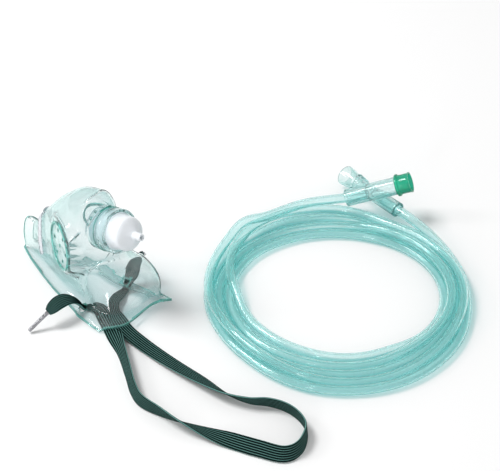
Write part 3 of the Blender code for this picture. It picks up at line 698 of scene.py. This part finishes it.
def mark_edges(obj):
    """Gives the sheet's cut edge, the vent rings, the holes and the collar's bead the look of an
    edge, where the light has come a long way through the plastic."""
    mesh = obj.data
    grid = mask_surface()
    border = [mask_to_world(*p) * MM for p in
              list(grid[0]) + list(grid[:, -1]) + list(grid[-1][::-1]) + list(grid[::-1, 0])]
    dense = []
    for a, b in zip(border, border[1:]):
        steps = max(1, int((b - a).length / (0.25 * MM)))
        dense += [a.lerp(b, k / steps) for k in range(steps)]
    tree = KDTree(len(dense))
    for i, p in enumerate(dense):
        tree.insert(p, i)
    tree.balance()
    frames = []
    for centre, side in ((VENT_NEAR, -1), (VENT_FAR, 1)):
        centre, normal = vent_axes(centre, side)
        frames.append(axes_along(mask_to_world(*centre), turn_to_world(*normal)).inverted())
    collar = port_axes.inverted()
    for face in mesh.polygons:
        p = face.center
        _, _, reach = tree.find(p)
        edge = reach < 0.00095
        for turn in frames:
            q = turn @ p / MM
            r = math.hypot(q.x, q.y)
            if r < VENT_R + 0.1 and abs(q.z) < 2.5:
                near_hole = min(math.hypot(q.x - d * math.cos(k * math.pi / 3),
                                           q.y - d * math.sin(k * math.pi / 3))
                                for k in range(6) for d in (0.0, VENT_HOLE_CIRCLE))
                if r > VENT_R - VENT_RING - 0.05 and q.z > 0.02 or near_hole < VENT_HOLE_R + 0.05:
                    edge = True
        q = collar @ p / MM
        r = math.hypot(q.x, q.y)
        edge = edge or (COLLAR_R + 0.05 < r < COLLAR_R + 0.5 and 1.4 < q.z < 2.6)
        for s, t in STRAP_HOLES:
            q = p / MM - mask_to_world(s, t, 0)
            edge = edge or (math.hypot(q.x, q.y) < STRAP_HOLE_R + 0.1 and q.z < 9)
        face.material_index = 1 if edge else 0


even_shading(shell, bare_mesh)
mark_edges(shell)

# -------------------------------------------------------- swivel connector
swivel = lathe(rounded((
    (1.0, 27.0), (1.9, 27.0), (2.15, 25.6), (1.95, 25.2), (2.3, 23.6), (2.1, 23.2), (2.4, 21.5),
    (4.6, 20.2), (7.7, 18.6), (8.9, 17.6), (9.3, 16.4), (9.3, 9.4), (10.3, 8.6), (10.3, -3.0),
    (8.9, -3.0), (8.9, 7.6), (7.9, 8.6), (7.9, 16.0), (4.0, 18.8), (1.0, 20.4)), 0.35), 96,
    port_axes)
swivel = mesh_object("swivel_connector_visual", *swivel, white_look, sharp=50.0)


# --------------------------------------------------------------- nose clip
def clip_object():
    """Thin strip bent over the nose arch, its two ends rounded."""
    def at(row, column):
        inner = through(rows, row)[2:-2]
        return through(inner, column * (len(inner) - 1))

    steps, sections = 110, []
    length = 0.0
    middle = [at(CLIP_ROW, CLIP_FROM + (CLIP_TO - CLIP_FROM) * k / steps) for k in range(steps + 1)]
    way = np.concatenate([[0], np.cumsum([np.linalg.norm(b - a) for a, b in zip(middle, middle[1:])])])
    for k in range(steps + 1):
        column = CLIP_FROM + (CLIP_TO - CLIP_FROM) * k / steps
        here = middle[k]
        full_a, full_b = at(CLIP_ROW - CLIP_HALF, column), at(CLIP_ROW + CLIP_HALF, column)
        half = np.linalg.norm(full_b - full_a) / 2
        reach = min(way[k], way[-1] - way[k])
        share = math.sqrt(max(1 - max(1 - reach / half, 0) ** 2, 0.02))
        a = at(CLIP_ROW - CLIP_HALF * share, column)
        b = at(CLIP_ROW + CLIP_HALF * share, column)
        ahead = at(CLIP_ROW, column + 0.01) - at(CLIP_ROW, column - 0.01)
        normal = np.cross(ahead, b - a)
        normal /= np.linalg.norm(normal)
        if normal @ (here - np.array((18.0, 1.0, 12.0))) < 0:
            normal = -normal
        swell = max(0.0, float((here - (a + b) / 2) @ normal))
        low, high = CLIP_GAP + swell, CLIP_GAP + CLIP_THICKNESS + swell
        inward = (b - a) / max(np.linalg.norm(b - a), 1e-6)
        r = 0.18
        sections.append([a + normal * (low + r), a + inward * r + normal * low,
                         b - inward * r + normal * low, b + normal * (low + r),
                         b + normal * (high - r), b - inward * r + normal * high,
                         a + inward * r + normal * high, a + normal * (high - r)])
    verts = [mask_to_world(*p) * MM for section in sections for p in section]
    faces = []
    for i in range(len(sections) - 1):
        for j in range(8):
            m = (j + 1) % 8
            faces.append((i * 8 + j, i * 8 + m, (i + 1) * 8 + m, (i + 1) * 8 + j))
    faces += [tuple(range(8)), tuple(range((len(sections) - 1) * 8, len(sections) * 8))[::-1]]
    return mesh_object("nose_clip_visual", verts, faces, aluminium_look, sharp=60.0)


clip = clip_object()

# -------------------------------------------------------------- head strap
W, H = STRAP_WIDTH, STRAP_THICKNESS


def strap_points():
    near = [(*mask_to_world(s, t, z), w, h, roll) for s, t, z, w, h, roll in NEAR_END]
    far = [(*mask_to_world(s, t, z), w, h, roll) for s, t, z, w, h, roll in FAR_END]
    loop = []
    for x, y, roll in LOOP:
        turn = math.radians(roll)
        lift = 0.2 + 0.5 * (W * abs(math.sin(turn)) + H * abs(math.cos(turn)))
        loop.append((x, y, lift, W, H, roll))
    loop[-1] = (*loop[-1][:2], 2.2, W, H, 180)
    return near + loop + far


def strap_object():
    path = even_path(strap_points(), 1.0)
    n = STRAP_RIBS * 4 + 1
    verts, faces, uv = [], [], []
    side, along = None, 0.0
    for i, (x, y, z, width, thick, roll) in enumerate(path):
        here = Vector((x, y, z))
        before, after = Vector(path[max(i - 2, 0)][:3]), Vector(path[min(i + 2, len(path) - 1)][:3])
        if i:
            along += (here - Vector(path[i - 1][:3])).length
        ahead = (after - before).normalized()
        flat = Vector((0, 0, 1)).cross(ahead)
        side = flat.normalized() if flat.length > 0.25 or side is None else side
        up = ahead.cross(side).normalized()
        turn = math.radians(roll)
        wide = side * math.cos(turn) + up * math.sin(turn)
        thin = ahead.cross(wide).normalized()
        gather = (W - width) / W            # pulled narrow at a hole: deeper pleats
        ring, ring_uv = [], []
        for face in (1, -1):
            for k in range(n):
                u = k / (n - 1) if face == 1 else 1 - k / (n - 1)
                rib = abs(math.cos(math.pi * u * STRAP_RIBS))
                edge = min(u, 1 - u)
                round_off = math.sqrt(max(1 - (1 - min(edge / 0.045, 1)) ** 2, 0.0))
                h = thick / 2 * (0.25 + 0.75 * round_off) - (0.10 + 0.4 * gather) * rib ** 4 * round_off
                p = here + wide * (u - 0.5) * width + thin * face * max(h, 0.08)
                ring.append(p)
                ring_uv.append((u * STRAP_RIBS, along))
        verts += [p * MM for p in ring]
        uv += ring_uv
    m = 2 * n
    for i in range(len(path) - 1):
        for j in range(m):
            q = (j + 1) % m
            faces.append((i * m + j, i * m + q, (i + 1) * m + q, (i + 1) * m + j))
    faces.append(tuple(range(m)))
    faces.append(tuple(range((len(path) - 1) * m, len(path) * m))[::-1])
    mesh = bpy.data.meshes.new("head_strap_visual")
    mesh.from_pydata([tuple(v) for v in verts], [], faces)
    layer = mesh.uv_layers.new(name="weave")
    for loop in mesh.loops:
        layer.data[loop.index].uv = uv[loop.vertex_index]
    obj = finished("head_strap_visual", mesh, elastic_look, sharp=75.0)
    return obj, [tuple(c * MM for c in p[:3]) for p in path[::4]] + [
        tuple(c * MM for c in path[-1][:3])]


strap, strap_path = strap_object()


def tip_object(name, start, end, width, thick, roll):
    """Sheet metal folded round the strap's end and crimped flat, with a pressed line along each face."""
    start, end = Vector(start), Vector(end)
    ahead = (end - start).normalized()
    side = Vector((0, 0, 1)).cross(ahead).normalized()
    up = ahead.cross(side)
    turn = math.radians(roll)
    wide = side * math.cos(turn) + up * math.sin(turn)
    thin = ahead.cross(wide)
    length = (end - start).length
    steps, verts, faces = 48, [], []
    outline = []
    for k in range(20):
        a = 2 * math.pi * k / 20
        c, d = math.cos(a), math.sin(a)
        outline.append((math.copysign(abs(c) ** 0.6, c) * 0.5, math.copysign(abs(d) ** 0.6, d) * 0.5))
    for i in range(steps + 1):
        f = i / steps
        crimp = 1 - 0.05 * max(0, math.cos(2 * math.pi * f * 5)) ** 2 * (0.04 < f < 0.94)
        w = width * (1.0 - 0.12 * f) * (0.72 if i == steps else 1) * (1.1 if f < 0.06 else 1)
        h = thick * crimp * (0.72 if i == steps else 1) * (1.1 if f < 0.06 else 1)
        here = start + ahead * length * f
        for k, (a, b) in enumerate(outline):
            groove = 0.72 if k in (5, 15) else 1.0
            verts.append((here + wide * a * w + thin * b * h * groove) * MM)
    for i in range(steps):
        for j in range(20):
            q = (j + 1) % 20
            faces.append((i * 20 + j, i * 20 + q, (i + 1) * 20 + q, (i + 1) * 20 + j))
    faces.append(tuple(range(20)))
    faces.append(tuple(range(steps * 20, (steps + 1) * 20))[::-1])
    return mesh_object(name, verts, faces, steel_look, sharp=45.0)


near_start = mask_to_world(*NEAR_END[0][:3])
near_end = mask_to_world(53.8, -47.4, 1.5)
near_tip = tip_object("strap_tip_near_visual", near_start + (near_end - near_start).normalized() * 0.2,
                      near_end, 2.1, 1.7, 10)
far_start = mask_to_world(*FAR_END[-1][:3])
far_end = mask_to_world(63.9, 29.6, 12.0)
far_tip = tip_object("strap_tip_far_visual", far_start + (far_end - far_start).normalized() * 0.6,
                     far_end, 2.1, 1.7, 225)

# ------------------------------------------------------------- supply tube
away_a = (Vector(CAP_START) - Vector(SLEEVE_START)).normalized()
away_b = (Vector(FUNNEL_END) - Vector(FUNNEL_MOUTH)).normalized()
route = ([tuple(Vector(SLEEVE_START) + away_a * 12.6), tuple(Vector(SLEEVE_START) + away_a * 5)]
         + list(TUBE_ROUTE)
         + [tuple(Vector(FUNNEL_END) - away_b * 2), tuple(Vector(FUNNEL_END) - away_b * 15)])


def settled(path):
    """Moves neighbouring turns apart where they would cut into each other, and keeps them on
    the table and inside the coil's outline."""
    order = np.arange(len(path))
    away = np.abs(order[:, None] - order[None, :]) > 15
    free = np.ones(len(path))
    free[:10], free[-10:] = 0.0, 0.0
    gap = 2 * TUBE_R + 0.06
    for turn in range(90):
        apart = path[:, None, :] - path[None, :, :]
        reach = np.linalg.norm(apart, axis=2)
        close = (reach < gap) & away
        push = np.zeros_like(path)
        share = np.where(close, (gap - reach) / np.maximum(reach, 1e-6), 0.0)
        push = (apart * share[..., None]).sum(axis=1) / np.maximum(close.sum(axis=1), 1)[:, None]
        path = path + 0.45 * push * free[:, None]
        path[8:-8] = (path[7:-9] + 6 * path[8:-8] + path[9:-7]) / 8
        path[:, 2] = np.maximum(path[:, 2], TUBE_R + 0.02)
        dx, dy = (path[:, 0] - 135.3) / 71.9, (path[:, 1] + 10.6) / 71.9
        out = np.hypot(dx, dy)
        far = (out > 1) & (path[:, 2] < 9.5) & (free > 0)
        path[far, 0] = 135.3 + 71.9 * dx[far] / out[far]
        path[far, 1] = -10.6 + 71.9 * dy[far] / out[far]
    return path


def tube_object():
    path = even_path(route, 1.6)
    for _ in range(8):                      # evens out the small kinks between the points
        path[8:-8] = (path[6:-10] + 2 * path[7:-9] + 2 * path[8:-8] + 2 * path[9:-7]
                      + path[10:-6]) / 8
    path = settled(path)
    outer, inner, verts, faces = 48, 24, [], []
    up = Vector((0, 0, 1))
    for i, p in enumerate(path):
        here = Vector(p)
        ahead = (Vector(path[min(i + 1, len(path) - 1)]) - Vector(path[max(i - 1, 0)])).normalized()
        side = ahead.cross(up).normalized()
        up = side.cross(ahead).normalized()
        for radius, steps in ((TUBE_R, outer), (TUBE_BORE_R, inner)):
            for k in range(steps):
                a = 2 * math.pi * k / steps
                verts.append((here + side * radius * math.cos(a) + up * radius * math.sin(a)) * MM)
    ring = outer + inner
    for i in range(len(path) - 1):
        a, b = i * ring, (i + 1) * ring
        for k in range(outer):
            q = (k + 1) % outer
            faces.append((a + k, a + q, b + q, b + k))
        a, b = a + outer, b + outer
        for k in range(inner):
            q = (k + 1) % inner
            faces.append((a + k, b + k, b + q, a + q))
    for base in (0, (len(path) - 1) * ring):
        for k in range(inner):
            q = (k + 1) % inner
            faces.append((base + 2 * k, base + 2 * k + 1, base + 2 * q, base + outer + q,
                          base + outer + k))
    return mesh_object("supply_tube_visual", verts, faces, tube_look), path * MM


tube, tube_path = tube_object()

reach_a = (Vector(CAP_START) - Vector(SLEEVE_START)).length
reach_cap = (Vector(CAP_END) - Vector(CAP_START)).length
reach_b = (Vector(FUNNEL_END) - Vector(FUNNEL_MOUTH)).length
sleeve = mesh_object("supply_sleeve_visual", *lathe(rounded((
    (4.9, 0.0), (5.1, 0.4), (5.0, 1.4), (5.1, reach_a * 0.5), (5.25, reach_a - 1.2),
    (5.3, reach_a - 0.3), (4.2, reach_a - 0.3), (4.0, reach_a * 0.5), (3.7, reach_a * 0.43),
    (2.95, reach_a * 0.42), (2.95, 0.0)), 0.25), 64, axes_along(SLEEVE_START, away_a)),
    fitting_look, sharp=40.0)
cap = mesh_object("supply_cap_visual", *lathe(rounded((
    (4.3, 0.0), (6.5, 0.0), (6.6, 1.2), (5.85, 1.9), (5.7, 3.0), (5.75, reach_cap - 1.0),
    (6.0, reach_cap - 0.6), (6.1, reach_cap), (5.2, reach_cap), (4.4, 1.6)), 0.2), 64,
    axes_along(CAP_START, away_a)), green_look, sharp=40.0)
funnel = mesh_object("mask_funnel_visual", *lathe(rounded((
    (5.2, 0.0), (6.1, 0.0), (6.0, 1.0), (5.6, 4.5), (4.8, 8.6), (4.7, 9.1), (5.6, 9.7), (5.5, 10.4),
    (4.5, 11.2), (5.3, 12.4), (5.2, 13.2), (4.3, 14.0), (4.9, 15.4), (4.8, 16.2), (4.1, 17.0),
    (4.2, 24.0), (4.45, reach_b - 1.0), (4.4, reach_b), (2.95, reach_b), (2.95, 27.0), (2.0, 25.0),
    (1.9, 19.0), (3.0, 10.0), (4.6, 4.0)), 0.22), 64, axes_along(FUNNEL_MOUTH, away_b)),
    fitting_look, sharp=45.0)

# ----------------------------------------------------------- what moves how
PARTS = ((shell, "mask", "clear_pvc", ("mask_shell",)),
         (clip, "mask", "aluminium", ("nose_clip",)),
         (strap, "mask", "elastic", ("head_strap",)),
         (near_tip, "mask", "steel", ("strap_tip_near",)),
         (far_tip, "mask", "steel", ("strap_tip_far",)),
         (tube, "mask", "aqua_tubing", ("tubing_coil", "tube_lead_a", "tube_lead_b")),
         (sleeve, "mask", "clear_pvc", ("supply_sleeve",)),
         (cap, "mask", "green_plastic", ("supply_cap",)),
         (funnel, "mask", "clear_pvc", ("mask_funnel",)),
         (swivel, "connector", "white_plastic", ("swivel_connector",)))
for obj, body, slot, nodes in PARTS:
    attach(obj, body)
    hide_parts(*nodes)

# -------------------------------------------------- floor, light and camera
scene = bpy.context.scene


def floor():
    made, nodes, links, shader, _ = new_material("floor")
    tone = noise_node(nodes, links, 3.0, 2.0)
    links.new(ramp(nodes, links, tone.outputs["Fac"], 0.55, 0.65), shader.inputs["Roughness"])
    shader.inputs["Base Color"].default_value = (0.93, 0.93, 0.93, 1)
    shader.inputs["Specular IOR Level"].default_value = 0.2
    s = 12.0
    obj = mesh_object("floor", [(-s, -s, 0), (s, -s, 0), (s, s, 0), (-s, s, 0)], [(0, 1, 2, 3)],
                      made, smooth=False)
    obj.location.z = -0.0002


floor()

world = bpy.data.worlds.new("studio")
scene.world = world
world.use_nodes = True
wn, wl = world.node_tree.nodes, world.node_tree.links
coords = wn.new("ShaderNodeTexCoord")
split = wn.new("ShaderNodeSeparateXYZ")
wl.new(coords.outputs["Generated"], split.inputs["Vector"])
rise = wn.new("ShaderNodeMapRange")
rise.inputs["From Min"].default_value = 0.0
rise.inputs["From Max"].default_value = 0.55
rise.inputs["To Min"].default_value = 0.90
rise.inputs["To Max"].default_value = 0.52
wl.new(split.outputs["Z"], rise.inputs["Value"])
wl.new(rise.outputs["Result"], wn["Background"].inputs["Strength"])
wn["Background"].inputs["Color"].default_value = (1, 1, 1, 1)


def softbox(name, place, aim, width, height, watts):
    light = bpy.data.lights.new(name, "AREA")
    light.shape = "RECTANGLE"
    light.size, light.size_y = width, height
    light.energy = watts
    obj = bpy.data.objects.new(name, light)
    scene.collection.objects.link(obj)
    obj.location = place
    obj.rotation_euler = (Vector(aim) - Vector(place)).to_track_quat("-Z", "Y").to_euler()
    return obj


softbox("key", (-0.76, 0.20, 1.46), (0.08, -0.01, 0.02), 0.58, 0.50, 17.0)
softbox("left", (-1.15, 0.05, 0.90), (0.0, 0.0, 0.04), 0.16, 0.34, 2.6)
softbox("front", (-0.40, -1.20, 0.50), (0.0, -0.01, 0.06), 0.16, 0.30, 1.5)

camera = bpy.data.objects.new("camera", bpy.data.cameras.new("camera"))
scene.collection.objects.link(camera)
camera.data.sensor_width = 36.0
camera.data.sensor_fit = "HORIZONTAL"
camera.data.lens = 1413.8 / 500 * 36.0
camera.data.clip_start, camera.data.clip_end = 0.05, 50
tilt = math.radians(42.0)
target = Vector((0.0865, 0.040, 0.0))
camera.location = target + 0.82 * Vector((0, -math.cos(tilt), math.sin(tilt)))
camera.rotation_euler = (math.pi / 2 - tilt, 0, 0)
scene.camera = camera

scene.view_settings.view_transform = "Standard"
scene.cycles.caustics_refractive = False
scene.cycles.caustics_reflective = False
scene.cycles.max_bounces = 24
scene.cycles.transmission_bounces = 24
scene.cycles.transparent_max_bounces = 32
scene.cycles.glossy_bounces = 6
scene.cycles.use_denoising = True
scene.cycles.sample_clamp_indirect = 6.0
